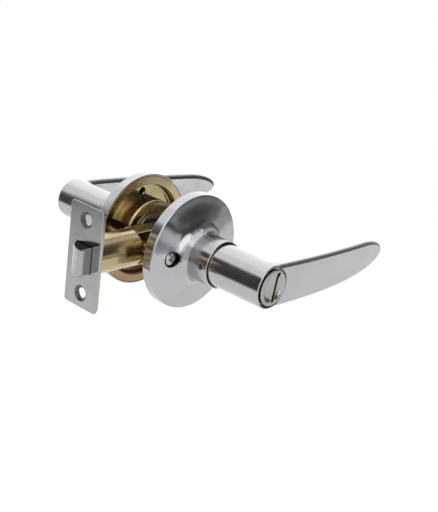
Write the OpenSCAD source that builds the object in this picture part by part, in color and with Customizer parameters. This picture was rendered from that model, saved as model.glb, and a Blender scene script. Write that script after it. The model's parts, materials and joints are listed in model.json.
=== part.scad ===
// Tubular privacy lever set: two lever handles on round roses, joined through
// the door by a square spindle, and the spring latch that the spindle draws back.
// Millimetres. The Y axis is the spindle, X runs level towards the lever tips,
// Z is up, and the origin is on the spindle in the middle of the door.
// The turn button is on the -Y side, and the latch front is at -X.

/* [Door] */
// Thickness of the door between the two roses
door_t = 35; // [32:1:40]
// Backset, from the door's edge to the spindle axis
backset = 60; // [58:1:64]
// Pitch of the two through screws, one each side of the spindle
screw_pitch = 39; // [37.5:0.1:39.4]

/* [Rose] */
// Radius of the rose where it meets the door
rose_r = 33.3; // [33:0.1:35]
// Radius of the rose at the front edge of its rim
rose_edge_r = 33.1; // [32.9:0.1:34.8]
// Depth of the rim band
rim_h = 6.2; // [6:0.1:7]
// Slope of the rose's face in degrees
face_slope = 9; // [8:0.5:11]
// Radius of the flare between face and neck
flare_r = 7; // [5:0.5:9]
// Outer radius of the neck
neck_r = 13.6; // [13.5:0.1:14]
// Distance from the door to the neck's end
neck_h = 28; // [27:0.5:30]
// Sheet thickness of the rose
rose_wall = 0.9; // [0.8:0.05:0.95]
// Radius of the screw access holes in the front rose
access_r = 4.7; // [4.2:0.1:4.9]
// Radius of the catch release hole in the neck
pinhole_r = 1.6; // [1.5:0.1:1.9]

/* [Lever] */
// Radius of the lever's round shank
shank_r = 12.2; // [12:0.1:12.3]
// Distance from mid door to the lever's end face
shank_end = 81.5; // [80:0.5:84]
// Length of the blade from the spindle axis
blade_len = 116.5; // [105:0.5:120]
// How far the blade sweeps back towards the door at full length
blade_sweep = 9; // [6:0.5:11]
// Thickness of the blade
blade_t = 5.5; // [5:0.25:7]
// Extra thickness of the blade where it leaves the shank
root_swell = 2; // [0:0.5:4]
// Radius of the rounding round the shank's end face
end_round = 0.4; // [0.3:0.05:0.5]

/* [Turn button] */
// Radius of the button
button_r = 10.1; // [9.5:0.1:10.4]
// Radius of the pocket that the button sits in
pocket_r = 11.6; // [10.9:0.1:11.7]
// Depth of the pocket
pocket_depth = 3.9; // [3.5:0.1:4.2]
// Width of the thumb ridge across the button
ridge_w = 2.2; // [1.8:0.1:2.6]

/* [Spindle] */
// Width of the square spindle
spindle_w = 7.8; // [7.6:0.05:7.85]
// Width of the square bar that the button turns
bar_w = 3; // [2.8:0.1:3.1]

/* [Latch] */
// Width of the latch faceplate
plate_w = 25.4; // [25:0.1:26]
// Height of the latch faceplate
plate_h = 57.2; // [56:0.1:58]
// Thickness of the latch faceplate
plate_t = 1.6; // [1.4:0.1:1.8]
// Distance between the faceplate's two screw holes
plate_pitch = 41.2; // [40.5:0.1:42]
// Radius of the faceplate's screw holes
plate_hole_r = 2.9; // [2.6:0.1:3]
// Width of the latch bolt
bolt_w = 12.7; // [12.4:0.1:12.8]
// Height of the latch bolt
bolt_h = 15; // [14.8:0.1:15.2]
// How far the latch bolt stands out of the faceplate
bolt_throw = 8.6; // [8:0.1:8.7]
// Outer radius of the latch tube
tube_r = 10.6; // [10.5:0.1:10.8]

/* [Hidden] */
$fn = 96;

// shared clearances
fit = 0.05;
gap = 0.4;

door_face = door_t / 2;
screw_x = screw_pitch / 2;

// rose
neck_end = door_face + neck_h;
flare_c = neck_r + flare_r;
flare_h = rim_h + (rose_edge_r - flare_c) * tan(face_slope) + flare_r / cos(face_slope);
flare_steps = 14;
pry_slot_angle = 50;
pry_slot = [3, 4, 1.2];

// mounting plate: a flange on the door and a dish that stands into the rose
sheet = 1.2;
dish_r = 27;
dish_face = door_face + 4.5;
dish_top = dish_face + sheet;
slot_r = 1.9;
slot_h = 22;

// spring cage and return spring, which stand into the door's cross bore
cage_r = 19.7;
cage_core_r = 15.2;
cage_end = 10.6;
cage_gap_side = 22;
spring_r = 14.3;
spring_wire_r = 0.6;
spring_turns = 3;
spring_pitch = 1.75;
spring_start = cage_end + 2.4;

// drive sleeve: turns in the mounting plate, and the lever pushes on over it
hub_r = 13;
hub_t = 1.4;
hub_face = cage_end - gap - hub_t;
journal_r = 10.6;
driver_r = 9.4;
driver_bore_r = 7.6;
driver_end = 60;
socket_end = 21;
groove_r = 9.9;
clip_t = 0.9;
clip_seat = dish_top + 0.3;
clip_r = 12;
clip_lip = 0.8;
key_w = 2.6;

// lever
shank_start = clip_seat + clip_t + 2 * fit + clip_lip + 0.2;
lever_bore_r = driver_r + 0.1;
bore_end = 63;
catch_h = 41.2;
catch_r = 1.3;
catch_head_r = 2.3;
catch_head = [5.6, 6.6];
root_len = 26;
blade_steps = 14;
release_r = 1.5;

// turn button
pocket_floor = shank_end - pocket_depth;
button_face = shank_end - 0.1;
button_hub_r = 4.1;
button_hub_end = bore_end - 2.4;
button_groove = bore_end - 1.1;
scoop_r = 9;
scoop_depth = 2;
button_rim = 1.5;
bar_front = 71.5;
bar_back = 60;
bar_head_r = 3;
bar_head_t = 3;

// fasteners
screw_r = 2;
screw_head_r = 3.7;
screw_head_t = 2.3;
post_r = 3.3;
post_reach = 8;
post_stub_r = 2.4;

// latch
plate_back = -backset + plate_t;
backing_t = 1.2;
tube_front = plate_back + backing_t;
tube_end = -27;
tube_bore_r = tube_r - 0.9;
bolt_rear = -45;
bolt_bore_r = 4.7;
bolt_bore_end = -backset;
bolt_chamfer = 0.8;
bevel_bulge = 1.6;
seat_x = [-35.4, -34.2];
coil_r = 3.6;
coil_wire_r = 0.45;
coil_turns = 11;
rod_r = 2.2;
case_y = 5.2;
case_z = 9.5;
case_wall = 1;
case_end = 24;
case_neck_start = -33;
case_neck_r = [8.95, tube_bore_r - 0.1];
case_hub_r = 6.45;
case_post_r = post_r + 0.5;
rivet_at = [13, 6.9];
rivet_r = 1.2;
rivet_head_r = 2;
rivet_head_t = 0.6;
cam_r = 6.4;
cam_y = 5.9;
arm_r = 8.1;
arm_w = 2.6;
arm_y = 2.2;
arm_lean = 30;
fork_y = [2.6, 3.4];
fork_z = 7.9;
fork_bridge = [-33.4, -31.8];
fork_end = -0.4;
hook_x = -1.9;

// points on an arc round c
function arc(c, r, a0, a1, n) =
  [for (i = [0 : n]) c + r * [cos(a0 + (a1 - a0) * i / n), sin(a0 + (a1 - a0) * i / n)]];

// point on a cubic curve
function cubic(a, b, c, d, t) =
  pow(1 - t, 3) * a + 3 * t * pow(1 - t, 2) * b + 3 * t * t * (1 - t) * c + pow(t, 3) * d;

function cubic_points(a, b, c, d, n) = [for (i = [1 : n]) cubic(a, b, c, d, i / n)];

// the rose's section, outer face when t is 0 and inner face when t is the sheet
function rose_line(t) = concat(
  [[rose_r - t, door_face]],
  [[rose_edge_r - t, door_face + rim_h + t * (tan(face_slope) - 1 / cos(face_slope))]],
  arc([flare_c, door_face + flare_h], flare_r + t, 270 - face_slope, 180, flare_steps),
  [[neck_r - t, neck_end]]
);

function flip(list) = [for (i = [len(list) - 1 : -1 : 0]) list[i]];

// distance of the blade's outer face from mid door, and its thickness, along X
function blade_out(x) = shank_end - blade_sweep * pow(x / 120, 2);
function blade_thick(x) = blade_t + root_swell * pow(max(0, 1 - x / root_len), 2);

// a wire wound round an axis: rings of points, each square to the path
function ring(p, d, axis, r, n) =
  let (u = cross(d, axis), side = u / norm(u), up = cross(side, d))
  [for (k = [0 : n - 1]) p + r * cos(360 * k / n) * side + r * sin(360 * k / n) * up];

module wire(path, axis, r, n) {
  m = len(path);
  dirs = [for (i = [0 : m - 1])
    let (d = path[min(i + 1, m - 1)] - path[max(i - 1, 0)]) d / norm(d)];
  points = [for (i = [0 : m - 1]) each ring(path[i], dirs[i], axis, r, n)];
  walls = [for (i = [0 : m - 2], k = [0 : n - 1])
    [i * n + k, i * n + (k + 1) % n, (i + 1) * n + (k + 1) % n, (i + 1) * n + k]];
  polyhedron(points, concat(
    [[for (k = [n - 1 : -1 : 0]) k]],
    walls,
    [[for (k = [0 : n - 1]) (m - 1) * n + k]]
  ), convexity = 12);
}

// Each half of the set is drawn along +Z, away from mid door, with world Z along Y.
module front() {
  rotate([90, 0, 0]) children();
}

module back() {
  mirror([0, 1, 0]) front() children();
}

module tube_z(r_out, r_in, z0, z1) {
  translate([0, 0, z0]) linear_extrude(z1 - z0) difference() {
    circle(r_out);
    circle(r_in);
  }
}

module rod_z(r, z0, z1) {
  translate([0, 0, z0]) cylinder(r = r, h = z1 - z0);
}

module square_z(w, z0, z1) {
  translate([-w / 2, -w / 2, z0]) cube([w, w, z1 - z0]);
}

module at_screws() {
  for (s = [-1, 1]) translate([s * screw_x, 0, 0]) children();
}

// a bore across the half, towards -X, for the lever catch
module catch_bore(r, x0, x1) {
  translate([-x1, 0, catch_h]) rotate([0, 90, 0]) cylinder(r = r, h = x1 - x0);
}

module rose(screw_holes) {
  color([0.72, 0.73, 0.75]) difference() {
    rotate_extrude($fn = 144) polygon(concat(rose_line(0), flip(rose_line(rose_wall))));
    if (screw_holes) at_screws() rod_z(access_r, door_face + rim_h - 2, neck_end - 12);
    catch_bore(pinhole_r, neck_r - 3, neck_r + 2);
    rotate([0, 0, pry_slot_angle]) translate([rose_r - pry_slot[0] / 2, -pry_slot[1] / 2, door_face - 1])
      cube([pry_slot[0], pry_slot[1], pry_slot[2] + 1]);
  }
}

module mounting_plate(hole_r) {
  color([0.72, 0.6, 0.38]) difference() {
    rotate_extrude($fn = 144) polygon([
      [journal_r + fit, dish_face],
      [dish_r, dish_face],
      [dish_r, door_face],
      [rose_r - rose_wall - 0.1, door_face],
      [rose_r - rose_wall - 0.1, door_face + sheet],
      [dish_r + sheet, door_face + sheet],
      [dish_r + sheet, dish_top],
      [journal_r + fit, dish_top]
    ]);
    at_screws() rod_z(hole_r, dish_face - 1, dish_top + 1);
    for (s = [-1, 1]) translate([0, s * slot_h, 0]) rod_z(slot_r, dish_face - 1, dish_top + 1);
  }
}

// a sector of a ring, centred on the angle a and w degrees wide
module sector(r_out, r_in, a, w, z0, z1) {
  rotate([0, 0, a - w / 2]) rotate_extrude(angle = w, $fn = 144)
    translate([r_in, z0]) square([r_out - r_in, z1 - z0]);
}

// cup over the return spring: a cover round the hub with an upper and a lower wing
module spring_cage() {
  color([0.68, 0.55, 0.33]) difference() {
    rotate_extrude($fn = 144) polygon([
      [journal_r + gap, cage_end],
      [cage_r, cage_end],
      [cage_r, dish_face],
      [cage_r - sheet, dish_face],
      [cage_r - sheet, cage_end + sheet],
      [journal_r + gap, cage_end + sheet]
    ]);
    for (a = [0, 180]) sector(cage_r + 1, cage_core_r, a, 2 * cage_gap_side, cage_end - 1, dish_face + 1);
  }
}

// torsion spring: a coil whose last end is bent out to the cage
module return_spring() {
  n = 18 * spring_turns;
  function turn(i) = 360 * spring_turns * i / n + 60;
  coil = [for (i = [0 : n]) [
    spring_r * cos(turn(i)),
    spring_r * sin(turn(i)),
    spring_start + spring_pitch * spring_turns * i / n
  ]];
  out_end = (spring_r + 2.6) / spring_r;
  last = coil[n];
  color([0.55, 0.5, 0.42])
    wire(concat(coil, [[last[0] * out_end, last[1] * out_end, last[2]]]), [0, 0, 1], spring_wire_r, 8);
}

module drive_sleeve() {
  color([0.62, 0.6, 0.56]) difference() {
    union() {
      rod_z(hub_r, hub_face, hub_face + hub_t);
      rod_z(journal_r, hub_face + hub_t - 0.2, shank_start - 0.2);
      rod_z(driver_r, clip_seat + clip_t, driver_end);
    }
    square_z(spindle_w + 0.2, hub_face - 1, socket_end + 1);
    rod_z(driver_bore_r, socket_end, driver_end + 1);
    tube_z(journal_r + 1, groove_r, clip_seat, clip_seat + clip_t + 2 * fit);
    catch_bore(catch_r + 0.3, driver_bore_r - 2, driver_r + 1);
    translate([driver_bore_r - 1, -key_w / 2 - 0.2, shank_start - 0.2])
      cube([driver_r, key_w + 0.4, driver_end]);
  }
}

// spring ring that keeps the drive sleeve in the mounting plate
module circlip() {
  color([0.3, 0.3, 0.32]) translate([0, 0, clip_seat + fit]) difference() {
    tube_z(clip_r, groove_r + fit, 0, clip_t);
    translate([0, -5, -1]) cube([clip_r + 1, 10, clip_t + 2]);
  }
}

// side outline of the blade: straight along the top, bellied below, blunt at the tip
module blade_outline() {
  top_root = [0, 12];
  top_end = [0.8 * blade_len, 6.6];
  tip = [blade_len, -3];
  low_end = [0.81 * blade_len, -12.3];
  low_root = [0, -12];
  polygon(concat(
    [top_root, top_end],
    cubic_points(top_end, [0.885 * blade_len, 6], [blade_len, 3], tip, blade_steps / 2),
    cubic_points(tip, [blade_len, -7], [0.93 * blade_len, -11], low_end, blade_steps / 2),
    cubic_points(low_end, [0.6 * blade_len, -15], [0.34 * blade_len, -14], low_root, blade_steps)
  ));
}

// plan of the blade, X along the blade and Y away from mid door
module blade_plan() {
  xs = concat(
    [for (i = [0 : 6]) root_len * i / 6],
    [for (i = [1 : 8]) root_len + (blade_len + 2 - root_len) * i / 8]
  );
  polygon(concat(
    [for (x = xs) [x, blade_out(x)]],
    flip([for (x = xs) [x, blade_out(x) - blade_thick(x)]])
  ));
}

module blade() {
  intersection() {
    translate([0, 0, shank_start]) linear_extrude(shank_end) blade_outline();
    rotate([90, 0, 0]) translate([0, 0, -20]) linear_extrude(40) blade_plan();
  }
}

module lever_casting() {
  difference() {
    union() {
      rotate_extrude() polygon(concat(
        [[0, shank_start], [shank_r, shank_start]],
        arc([shank_r - end_round, shank_end - end_round], end_round, 0, 90, 4),
        [[0, shank_end]]
      ));
      blade();
    }
    rod_z(lever_bore_r, shank_start - 1, bore_end);
    catch_bore(catch_r + 0.3, lever_bore_r - 2, shank_r + 1);
  }
  translate([driver_bore_r + 0.8, -key_w / 2, shank_start])
    cube([2.4, key_w, driver_end - shank_start - 2]);
}

module front_lever_shape() {
  color([0.76, 0.77, 0.78]) difference() {
    lever_casting();
    rod_z(pocket_r, pocket_floor, shank_end + 1);
    rod_z(button_hub_r + fit, bore_end - 1, pocket_floor + 1);
  }
}

module back_lever_shape() {
  color([0.76, 0.77, 0.78]) difference() {
    lever_casting();
    rod_z(release_r, bore_end - 1, shank_end + 1);
  }
}

// sprung pin that holds the lever on its sleeve until a pin pushes it in through the neck
module lever_catch() {
  color([0.4, 0.4, 0.42]) {
    catch_bore(catch_r, catch_head[1] - 0.2, shank_r - 0.2);
    catch_bore(catch_head_r, catch_head[0], catch_head[1]);
  }
}

module turn_button() {
  front() color([0.7, 0.7, 0.68]) difference() {
    union() {
      rod_z(button_r, pocket_floor + gap, button_face);
      rod_z(button_hub_r, button_hub_end, pocket_floor + gap + 0.2);
    }
    for (s = [-1, 1]) intersection() {
      translate([s * (ridge_w / 2 + sqrt(pow(scoop_r, 2) - pow(scoop_r - scoop_depth, 2))), 0,
        button_face + scoop_r - scoop_depth])
        rotate([90, 0, 0]) translate([0, 0, -button_r]) cylinder(r = scoop_r, h = 2 * button_r);
      rod_z(button_r - button_rim, pocket_floor + gap + 0.5, button_face + 1);
    }
    square_z(bar_w + 0.1, button_hub_end - 1, bar_front + 0.2);
    tube_z(button_hub_r + 1, button_hub_r - 0.8, button_groove, button_groove + 0.7);
  }
}

// open ring in the groove of the button's hub, behind the lever's web
module button_clip() {
  front() color([0.3, 0.3, 0.32]) translate([0, 0, button_groove + fit]) difference() {
    tube_z(6.4, button_hub_r - 0.8 + fit, 0, 0.6);
    translate([0, -2, -1]) cube([8, 4, 3]);
  }
}

// square bar from the button to the slotted end that the release hole reaches
module turn_bar() {
  color([0.6, 0.58, 0.5]) {
    front() square_z(bar_w, -bar_back + bar_head_t, bar_front);
    back() difference() {
      rod_z(bar_head_r, bar_back - bar_head_t - 0.1, bar_back);
      translate([-bar_head_r - 1, -0.5, bar_back - 1.4]) cube([2 * bar_head_r + 2, 1, 3]);
    }
  }
}

module spindle() {
  color([0.58, 0.56, 0.52]) front() difference() {
    square_z(spindle_w, -socket_end + 1, socket_end - 1);
    rod_z(2.5, -socket_end, socket_end);
  }
}

// pan head screws, driven from the front half into the posts
module through_screws() {
  color([0.66, 0.66, 0.66]) front() at_screws() difference() {
    union() {
      rod_z(screw_r, -14, dish_top + 0.2);
      rod_z(screw_head_r, dish_top, dish_top + screw_head_t);
    }
    for (a = [0, 90]) rotate([0, 0, a])
      translate([-2.3, -0.5, dish_top + screw_head_t - 1.4]) cube([4.6, 1, 2]);
  }
}

// threaded posts riveted to the back mounting plate
module screw_posts() {
  color([0.7, 0.6, 0.4]) back() at_screws() difference() {
    union() {
      rod_z(post_r, -post_reach, dish_face);
      rod_z(post_stub_r, dish_face - 0.1, dish_top + 0.4);
    }
    rod_z(screw_r + fit, -post_reach - 1, 16);
  }
}

// a plate on end, facing -X, with rounded corners
module edge_plate(w, h, t, corner) {
  rotate([90, 0, 90]) linear_extrude(t) {
    square([w - 2 * corner, h], center = true);
    square([w, h - 2 * corner], center = true);
    for (sx = [-1, 1], sy = [-1, 1])
      translate([sx * (w / 2 - corner), sy * (h / 2 - corner)]) circle(corner);
  }
}

module bolt_window(x0, x1) {
  translate([x0, -bolt_w / 2 - 0.3, -bolt_h / 2 - 0.3]) cube([x1 - x0, bolt_w + 0.6, bolt_h + 0.6]);
}

module rod_x(r, x0, x1) {
  translate([x0, 0, 0]) rotate([0, 90, 0]) cylinder(r = r, h = x1 - x0);
}

module latch_faceplate() {
  color([0.74, 0.75, 0.77]) difference() {
    translate([-backset, 0, 0]) edge_plate(plate_w, plate_h, plate_t, 1.8);
    bolt_window(-backset - 1, plate_back + 1);
    for (s = [-1, 1]) translate([-backset, 0, s * plate_pitch / 2]) rotate([0, 90, 0]) {
      translate([0, 0, -1]) cylinder(r = plate_hole_r, h = plate_t + 2);
      translate([0, 0, -0.1]) cylinder(r1 = plate_hole_r + 0.9, r2 = plate_hole_r, h = 1);
    }
  }
}

module latch_backing_plate() {
  color([0.72, 0.6, 0.38]) difference() {
    translate([plate_back, 0, 0]) edge_plate(plate_w - 1.6, plate_h - 1.6, backing_t, 1.8);
    bolt_window(plate_back - 1, tube_front + 1);
    for (s = [-1, 1]) translate([0, 0, s * plate_pitch / 2])
      rod_x(plate_hole_r + 0.2, plate_back - 1, tube_front + 1);
  }
}

module latch_tube() {
  color([0.74, 0.62, 0.4]) rotate([0, 90, 0]) rotate_extrude() polygon(concat(
    [[tube_bore_r, tube_front], [tube_r, tube_front]],
    arc([tube_r - 0.8, tube_end - 0.8], 0.8, 0, 90, 5),
    [[tube_bore_r, tube_end]]
  ));
}

// disc fixed across the tube that the bolt spring pushes against
module spring_seat() {
  color([0.6, 0.52, 0.36]) difference() {
    rod_x(tube_bore_r - fit, seat_x[0], seat_x[1]);
    rod_x(rod_r + gap, seat_x[0] - 1, seat_x[1] + 1);
  }
}

// one half of the case that carries the cam, for the side s of the spindle
module case_half(s) {
  color([0.68, 0.56, 0.36]) difference() {
    union() {
      translate([tube_end, s > 0 ? 0 : -case_y, -case_z]) cube([case_end - tube_end, case_y, 2 * case_z]);
      intersection() {
        rod_x(case_neck_r[1], case_neck_start, tube_end + 1);
        translate([case_neck_start - 1, s > 0 ? 0 : -20, -20]) cube([40, 20, 40]);
      }
    }
    translate([tube_end - 0.5, -case_y + case_wall, -case_z + case_wall])
      cube([case_end - case_wall - tube_end + 0.5, 2 * (case_y - case_wall), 2 * (case_z - case_wall)]);
    rod_x(case_neck_r[0], case_neck_start - 1, tube_end - 0.2);
    rotate([90, 0, 0]) {
      translate([0, 0, -20]) cylinder(r = case_hub_r, h = 40);
      for (x = [-screw_x, screw_x]) translate([x, 0, -20]) cylinder(r = case_post_r, h = 40);
      for (z = [-1, 1]) translate([rivet_at[0], z * rivet_at[1], -20]) cylinder(r = rivet_r + fit, h = 40);
    }
  }
}

module latch_case_front() {
  case_half(-1);
}

module latch_case_back() {
  case_half(1);
}

module case_rivets() {
  color([0.7, 0.62, 0.45]) for (z = [-1, 1])
    translate([rivet_at[0], 0, z * rivet_at[1]]) rotate([90, 0, 0]) {
      rod_z(rivet_r, -case_y - 0.1, case_y + 0.1);
      for (s = [-1, 1]) translate([0, 0, s * (case_y + rivet_head_t / 2)])
        cylinder(r = rivet_head_r, h = rivet_head_t, center = true);
    }
}

// plan of the bolt: flat on the front side, bevelled on the back side in a shallow curve
module bolt_plan() {
  nose = -backset - bolt_throw;
  from = [nose, -bolt_w / 2 + 0.9];
  to = [-backset - 0.2, bolt_w / 2];
  mid = (from + to) / 2 + bevel_bulge * [-1, 0.7];
  polygon(concat(
    [[bolt_rear, -bolt_w / 2], [nose + 0.6, -bolt_w / 2]],
    [for (i = [0 : 8]) let (t = i / 8)
      pow(1 - t, 2) * from + 2 * t * (1 - t) * (2 * mid - (from + to) / 2) + t * t * to],
    [[bolt_rear, bolt_w / 2]]
  ));
}

module latch_bolt() {
  color([0.76, 0.77, 0.78]) difference() {
    intersection() {
      translate([0, 0, -bolt_h / 2]) linear_extrude(bolt_h) bolt_plan();
      rotate([90, 0, 90]) translate([0, 0, -80]) linear_extrude(60) polygon([
        for (q = [[1, 1], [-1, 1], [-1, -1], [1, -1]]) each
          q[0] * q[1] > 0
            ? [[q[0] * bolt_w / 2, q[1] * (bolt_h / 2 - bolt_chamfer)],
               [q[0] * (bolt_w / 2 - bolt_chamfer), q[1] * bolt_h / 2]]
            : [[q[0] * (bolt_w / 2 - bolt_chamfer), q[1] * bolt_h / 2],
               [q[0] * bolt_w / 2, q[1] * (bolt_h / 2 - bolt_chamfer)]]
      ]);
    }
    rod_x(bolt_bore_r, bolt_bore_end, bolt_rear + 1);
  }
}

// rod, bridge and fork that draw the bolt back; the cam's arms push on the fork's hooks
module bolt_retractor() {
  color([0.62, 0.55, 0.42]) {
    rod_x(rod_r, bolt_bore_end, fork_bridge[0] + 0.2);
    translate([fork_bridge[0], -fork_y[1], -fork_z])
      cube([fork_bridge[1] - fork_bridge[0], 2 * fork_y[1], 2 * fork_z]);
    difference() {
      for (s = [-1, 1]) translate([fork_bridge[1] - 0.2, s > 0 ? fork_y[0] : -fork_y[1], -fork_z])
        cube([fork_end - fork_bridge[1] + 0.2, fork_y[1] - fork_y[0], 2 * fork_z]);
      translate([fork_bridge[1] + 0.1, -5, -post_r - gap]) cube([40, 10, 2 * (post_r + gap)]);
      translate([-cam_r - bolt_throw - gap, -5, -cam_r - gap]) cube([40, 10, 2 * (cam_r + gap)]);
    }
    for (s = [-1, 1]) translate([hook_x, -fork_y[1], s > 0 ? cam_r + gap : -fork_z])
      cube([fork_end - hook_x, 2 * fork_y[1], fork_z - cam_r - gap]);
  }
}

module bolt_spring() {
  n = 16 * coil_turns;
  x0 = bolt_bore_end + coil_wire_r + 0.15;
  x1 = seat_x[0] - coil_wire_r - 0.15;
  color([0.6, 0.6, 0.6]) wire([for (i = [0 : n]) [
    x0 + (x1 - x0) * i / n,
    coil_r * cos(360 * coil_turns * i / n),
    coil_r * sin(360 * coil_turns * i / n)
  ]], [1, 0, 0], coil_wire_r, 6);
}

// hub that the spindle turns, with two arms that push the fork either way round
module latch_cam() {
  color([0.66, 0.58, 0.42]) front() difference() {
    union() {
      rod_z(cam_r, -cam_y, cam_y);
      for (s = [-1, 1]) rotate([0, 0, s * arm_lean]) translate([-arm_w / 2, s > 0 ? 0 : -arm_r, -arm_y])
        cube([arm_w, arm_r, 2 * arm_y]);
    }
    square_z(spindle_w + 0.2, -cam_y - 1, cam_y + 1);
  }
}

module front_rose() { front() rose(true); }
module front_mounting_plate() { front() mounting_plate(screw_r + 0.3); }
module front_spring_cage() { front() spring_cage(); }
module front_return_spring() { front() return_spring(); }
module front_drive_sleeve() { front() drive_sleeve(); }
module front_circlip() { front() circlip(); }
module front_lever() { front() front_lever_shape(); }
module front_lever_catch() { front() lever_catch(); }
module back_rose() { back() rose(false); }
module back_mounting_plate() { back() mounting_plate(post_stub_r + fit); }
module back_spring_cage() { back() spring_cage(); }
module back_return_spring() { back() return_spring(); }
module back_drive_sleeve() { back() drive_sleeve(); }
module back_circlip() { back() circlip(); }
module back_lever() { back() back_lever_shape(); }
module back_lever_catch() { back() lever_catch(); }

front_rose();
front_mounting_plate();
front_spring_cage();
front_return_spring();
front_drive_sleeve();
front_circlip();
front_lever();
front_lever_catch();
back_rose();
back_mounting_plate();
back_spring_cage();
back_return_spring();
back_drive_sleeve();
back_circlip();
back_lever();
back_lever_catch();
turn_button();
button_clip();
turn_bar();
spindle();
through_screws();
screw_posts();
latch_faceplate();
latch_backing_plate();
latch_tube();
spring_seat();
latch_case_front();
latch_case_back();
case_rivets();
latch_bolt();
bolt_retractor();
bolt_spring();
latch_cam();
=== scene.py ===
import json
import math

import bmesh
import bpy
import numpy as np
from mathutils import Matrix, Vector


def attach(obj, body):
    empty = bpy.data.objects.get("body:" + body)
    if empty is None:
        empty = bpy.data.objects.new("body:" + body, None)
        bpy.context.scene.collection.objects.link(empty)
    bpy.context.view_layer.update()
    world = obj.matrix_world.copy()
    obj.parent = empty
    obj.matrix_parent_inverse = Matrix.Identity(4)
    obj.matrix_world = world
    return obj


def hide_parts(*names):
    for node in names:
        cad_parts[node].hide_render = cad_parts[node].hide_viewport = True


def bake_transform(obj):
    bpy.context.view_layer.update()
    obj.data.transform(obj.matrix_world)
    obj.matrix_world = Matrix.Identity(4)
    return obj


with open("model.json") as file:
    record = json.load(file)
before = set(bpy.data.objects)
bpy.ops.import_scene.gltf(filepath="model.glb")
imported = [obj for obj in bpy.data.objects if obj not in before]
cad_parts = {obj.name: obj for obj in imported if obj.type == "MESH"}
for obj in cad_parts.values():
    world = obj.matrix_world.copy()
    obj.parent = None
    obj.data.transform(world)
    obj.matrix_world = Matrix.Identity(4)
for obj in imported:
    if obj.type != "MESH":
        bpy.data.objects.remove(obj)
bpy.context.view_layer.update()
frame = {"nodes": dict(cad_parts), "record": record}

MM = 0.001
NODES = frame["nodes"]
SIDES = ("front", "back")

# ---------------------------------------------------------------- dimensions, in millimetres
DOOR_FACE = 17.5
ROSE_R = 33.3
ROSE_EDGE = (33.1, 23.7)
FACE_SLOPE = math.radians(9)
FACE_BEND_R = 27.0
OUTER_SLOPE = math.radians(5.5)
INNER_SLOPE = math.radians(11.2)
FLARE_R = 7.5
NECK_R = 13.6
NECK_END = 45.5
ROSE_WALL = 0.9
SCREW_X = 19.5
ACCESS_R = 4.7
PINHOLE_R = 1.6
CATCH_H = 41.2

SHANK_R = 12.2
SHANK_END = {"front": 80.8, "back": 81.5}
BUTTON_FACE = 81.45
SHANK_START = 25.5
BLADE_LEN = 116.5
BLADE_SWEEP = 9.0
BLADE_T = 5.5
ROOT_SWELL = 2.0
ROOT_LEN = 26.0
POCKET_R = 11.35
POCKET_FLOOR = 77.6
BUTTON_R = 10.0
BUTTON_RIM = 1.4
BUTTON_HUB_R = 4.1
SCOOP_X = 5.2
SCOOP_LIFT = 7.4
SCOOP_R = 8.5
GROOVE_X = 2.1
GROOVE_LEAN = 0.15
GROOVE_HALF = 1.35
GROOVE_DEPTH = 2.6

PLATE_X = (-60.0, -58.4)
PLATE_W = 25.4
PLATE_H = 57.2
PLATE_PITCH = 41.2
HOLE_R = 2.9
TUBE_START = -57.2
TUBE_END = -27
TUBE_R = 10.6
TUBE_BORE = 9.7
BOLT_HALF_W = 6.35
BOLT_HALF_H = 7.5
BOLT_SPRING_X = (-59.4, -36.0)
BOLT_COIL_R = 3.6
RETURN_COIL_R = 14.3
SCREW_HEAD_TOP = 25.9

# ---------------------------------------------------------------- camera
CAMERA_AZIMUTH = math.radians(-50.1)
CAMERA_ELEVATION = math.radians(20.3067)
CAMERA_ROLL = math.radians(7.9567)
CAMERA_LENS = 67.44
CAMERA_DISTANCE = 0.5468
CAMERA_SHIFT = (0.031, 0.0098)

# Stands for a piece that stretches between these two bodies.
STRETCHED = "bolt and door_set"


# ---------------------------------------------------------------- node trees
class Tree:
    """A short way to add nodes: keyword arguments are sockets, props are the node's settings."""

    def __init__(self, owner):
        owner.use_nodes = True
        self.tree = owner.node_tree
        self.tree.nodes.clear()

    def add(self, kind, props=None, **sockets):
        node = self.tree.nodes.new("ShaderNode" + kind)
        for key, value in (props or {}).items():
            setattr(node, key, value)
        for key, value in sockets.items():
            name = key.replace("_", " ")
            socket = node.inputs[int(key[1:])] if key[1:].isdigit() else node.inputs[name]
            if isinstance(value, bpy.types.NodeSocket):
                self.tree.links.new(value, socket)
            else:
                socket.default_value = value
        return node

    def math(self, operation, a, b=0.0):
        return self.add("Math", {"operation": operation}, i0=a, i1=b).outputs[0]

    def ramp(self, value, low, high, to_low=0.0, to_high=1.0, kind="SMOOTHSTEP"):
        node = self.add("MapRange", {"interpolation_type": kind}, Value=value)
        names = ("From Min", "From Max", "To Min", "To Max")
        for name, number in zip(names, (low, high, to_low, to_high)):
            node.inputs[name].default_value = number
        return node.outputs[0]

    def noise(self, vector, scale, detail=2.0, rough=0.5):
        node = self.add("TexNoise", Vector=vector, Scale=scale, Detail=detail, Roughness=rough)
        return node.outputs["Fac"]

    def mix(self, factor, a, b):
        node = self.add("Mix", {"data_type": "RGBA"})
        for index, value in ((0, factor), (6, a), (7, b)):
            if isinstance(value, bpy.types.NodeSocket):
                self.tree.links.new(value, node.inputs[index])
            elif index == 0:
                node.inputs[0].default_value = value
            else:
                node.inputs[index].default_value = (*value, 1.0)
        return node.outputs[2]

    def finish(self, shader, kind="OutputMaterial"):
        out = self.add(kind)
        self.tree.links.new(shader.outputs[0], out.inputs["Surface"])


def stretched(t, scales):
    """Object coordinates in metres, scaled on each axis."""
    where = t.add("TexCoord").outputs["Object"]
    node = t.add("Mapping", Vector=where)
    node.inputs["Scale"].default_value = scales
    return node.outputs[0]


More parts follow.
